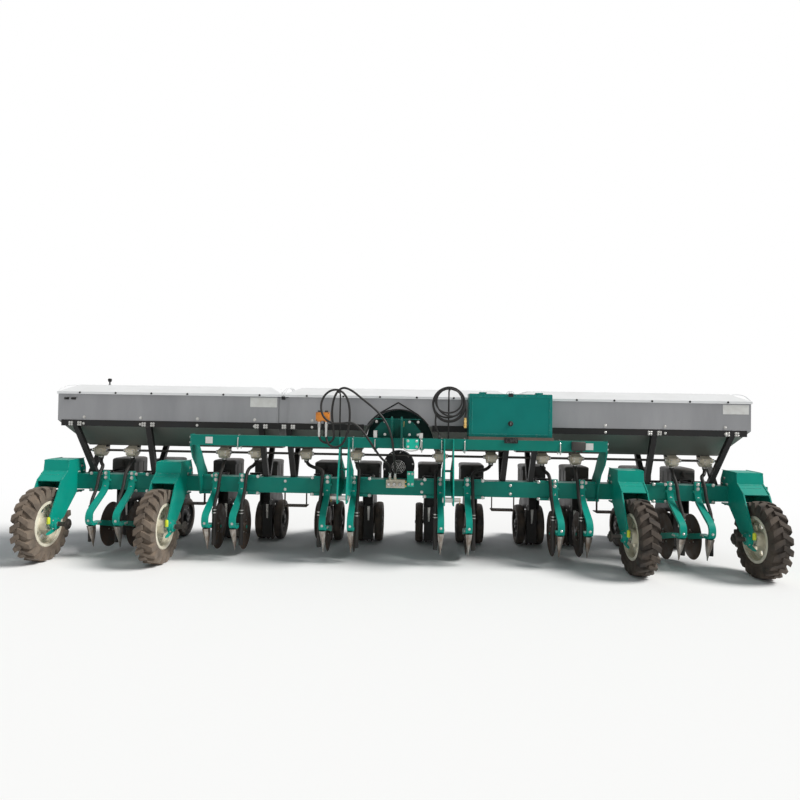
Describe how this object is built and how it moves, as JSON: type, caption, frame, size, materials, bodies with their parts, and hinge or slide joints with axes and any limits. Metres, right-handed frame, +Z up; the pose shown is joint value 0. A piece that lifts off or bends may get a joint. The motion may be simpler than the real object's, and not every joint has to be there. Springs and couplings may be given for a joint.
{
  "type": "mounted precision seeder",
  "caption": "Wide tractor-mounted precision seeder with fertiliser hopper, ground wheels, disc openers and seed row units that roll on gauge and press wheels.",
  "frame": {"origin": "on the ground under the middle of the machine's own box", "axes": "+X across the machine to the right as seen from the tractor, +Y away from the tractor, +Z up"},
  "size_m": [7.1, 2.0548, 1.7163],
  "materials": {
    "teal_paint": "satin",
    "bright_paint": "satin",
    "black_paint": "satin",
    "grey_steel": "satin",
    "white_lid": "satin",
    "cream_rim": "satin",
    "tyre_rubber": "matte",
    "dark_rubber": "matte",
    "bare_steel": "satin",
    "cast_alloy": "cast",
    "dark_disc": "soiled",
    "dark_plastic": "matte",
    "brown_tray": "matte"
  },
  "bodies": {
    "machine_frame": {"toolbar": "teal_paint", "upper_bar": "teal_paint", "bar_end_plates": "teal_paint", "hitch_plates": "teal_paint", "hitch_pins": "bare_steel", "top_mast": "teal_paint", "wheel_fork_1": "teal_paint", "wheel_fork_2": "teal_paint", "wheel_fork_3": "teal_paint", "wheel_fork_4": "teal_paint", "hopper_left": "grey_steel", "hopper_centre": "grey_steel", "hopper_right": "grey_steel", "arch_back": "black_paint", "hopper_joint_strips": "grey_steel", "hopper_rails": "black_paint", "hopper_legs": "black_paint", "lid_hinges": "black_paint", "toolbox_tray": "brown_tray", "toolbox": "teal_paint", "fertiliser_meters": "cast_alloy", "fertiliser_hoses": "dark_rubber", "opener_shanks": "teal_paint", "opener_tips": "bare_steel", "row_unit_frames": "black_paint", "seed_boxes": "dark_plastic", "seed_openers": "dark_disc", "fan": "black_paint", "steps": "black_paint", "hydraulic_block": "cast_alloy", "small_brackets": "bright_paint", "hose_hooks": "black_paint", "quick_couplers": "bare_steel", "first_hose": "dark_rubber", "second_hose": "dark_rubber", "cable_coil": "dark_rubber", "cable_run": "dark_rubber", "cable_plug": "bare_steel"},
    "ground_wheel_1": {"tyre_1": "tyre_rubber", "rim_1": "cream_rim"},
    "ground_wheel_2": {"tyre_2": "tyre_rubber", "rim_2": "cream_rim"},
    "ground_wheel_3": {"tyre_3": "tyre_rubber", "rim_3": "cream_rim"},
    "ground_wheel_4": {"tyre_4": "tyre_rubber", "rim_4": "cream_rim"},
    "coulters_left": {"coulter_discs_left": "dark_disc"},
    "gauges_left": {"gauge_wheels_left": "dark_rubber"},
    "presses_left": {"press_wheels_left": "dark_rubber"},
    "hopper_lid_left": {"lid_left": "white_lid"},
    "coulters_centre": {"coulter_discs_centre": "dark_disc"},
    "gauges_centre": {"gauge_wheels_centre": "dark_rubber"},
    "presses_centre": {"press_wheels_centre": "dark_rubber"},
    "hopper_lid_centre": {"lid_centre": "white_lid"},
    "coulters_right": {"coulter_discs_right": "dark_disc"},
    "gauges_right": {"gauge_wheels_right": "dark_rubber"},
    "presses_right": {"press_wheels_right": "dark_rubber"},
    "hopper_lid_right": {"lid_right": "white_lid"},
    "door": {"toolbox_door": "teal_paint"},
    "drive_shaft": {"meter_shaft": "bare_steel"}
  },
  "joints": [
    {"name": "ground_wheel_1_spin", "type": "hinge", "parent": "machine_frame", "child": "ground_wheel_1", "pos_m": [-3.3, -0.685, 0.3425], "axis": [1, 0, 0], "continuous": true},
    {"name": "ground_wheel_2_spin", "type": "hinge", "parent": "machine_frame", "child": "ground_wheel_2", "pos_m": [-2.2, -0.685, 0.3425], "axis": [1, 0, 0], "continuous": true},
    {"name": "ground_wheel_3_spin", "type": "hinge", "parent": "machine_frame", "child": "ground_wheel_3", "pos_m": [2.2, -0.685, 0.3425], "axis": [1, 0, 0], "continuous": true},
    {"name": "ground_wheel_4_spin", "type": "hinge", "parent": "machine_frame", "child": "ground_wheel_4", "pos_m": [3.3, -0.685, 0.3425], "axis": [1, 0, 0], "continuous": true},
    {"name": "coulters_left_spin", "type": "hinge", "parent": "machine_frame", "child": "coulters_left", "pos_m": [0, -0.225, 0.265], "axis": [1, 0, 0], "continuous": true},
    {"name": "gauges_left_spin", "type": "hinge", "parent": "machine_frame", "child": "gauges_left", "pos_m": [0, 0.515, 0.215], "axis": [1, 0, 0], "continuous": true},
    {"name": "presses_left_spin", "type": "hinge", "parent": "machine_frame", "child": "presses_left", "pos_m": [0, 0.865, 0.1625], "axis": [1, 0, 0], "continuous": true},
    {"name": "hopper_lid_left_hinge", "type": "hinge", "parent": "machine_frame", "child": "hopper_lid_left", "pos_m": [0, 0.265, 1.582], "axis": [-1, 0, 0], "range_deg": [0, 100]},
    {"name": "coulters_centre_spin", "type": "hinge", "parent": "machine_frame", "child": "coulters_centre", "pos_m": [0, -0.225, 0.265], "axis": [1, 0, 0], "continuous": true},
    {"name": "gauges_centre_spin", "type": "hinge", "parent": "machine_frame", "child": "gauges_centre", "pos_m": [0, 0.515, 0.215], "axis": [1, 0, 0], "continuous": true},
    {"name": "presses_centre_spin", "type": "hinge", "parent": "machine_frame", "child": "presses_centre", "pos_m": [0, 0.865, 0.1625], "axis": [1, 0, 0], "continuous": true},
    {"name": "hopper_lid_centre_hinge", "type": "hinge", "parent": "machine_frame", "child": "hopper_lid_centre", "pos_m": [0, 0.265, 1.582], "axis": [-1, 0, 0], "range_deg": [0, 100]},
    {"name": "coulters_right_spin", "type": "hinge", "parent": "machine_frame", "child": "coulters_right", "pos_m": [0, -0.225, 0.265], "axis": [1, 0, 0], "continuous": true},
    {"name": "gauges_right_spin", "type": "hinge", "parent": "machine_frame", "child": "gauges_right", "pos_m": [0, 0.515, 0.215], "axis": [1, 0, 0], "continuous": true},
    {"name": "presses_right_spin", "type": "hinge", "parent": "machine_frame", "child": "presses_right", "pos_m": [0, 0.865, 0.1625], "axis": [1, 0, 0], "continuous": true},
    {"name": "hopper_lid_right_hinge", "type": "hinge", "parent": "machine_frame", "child": "hopper_lid_right", "pos_m": [0, 0.265, 1.582], "axis": [-1, 0, 0], "range_deg": [0, 100]},
    {"name": "toolbox_door_hinge", "type": "hinge", "parent": "machine_frame", "child": "door", "pos_m": [1.05, -0.611, 1.626], "axis": [-1, 0, 0], "range_deg": [0, 95]},
    {"name": "drive_shaft_spin", "type": "hinge", "parent": "machine_frame", "child": "drive_shaft", "pos_m": [0, -0.155, 1], "axis": [1, 0, 0], "continuous": true}
  ]
}
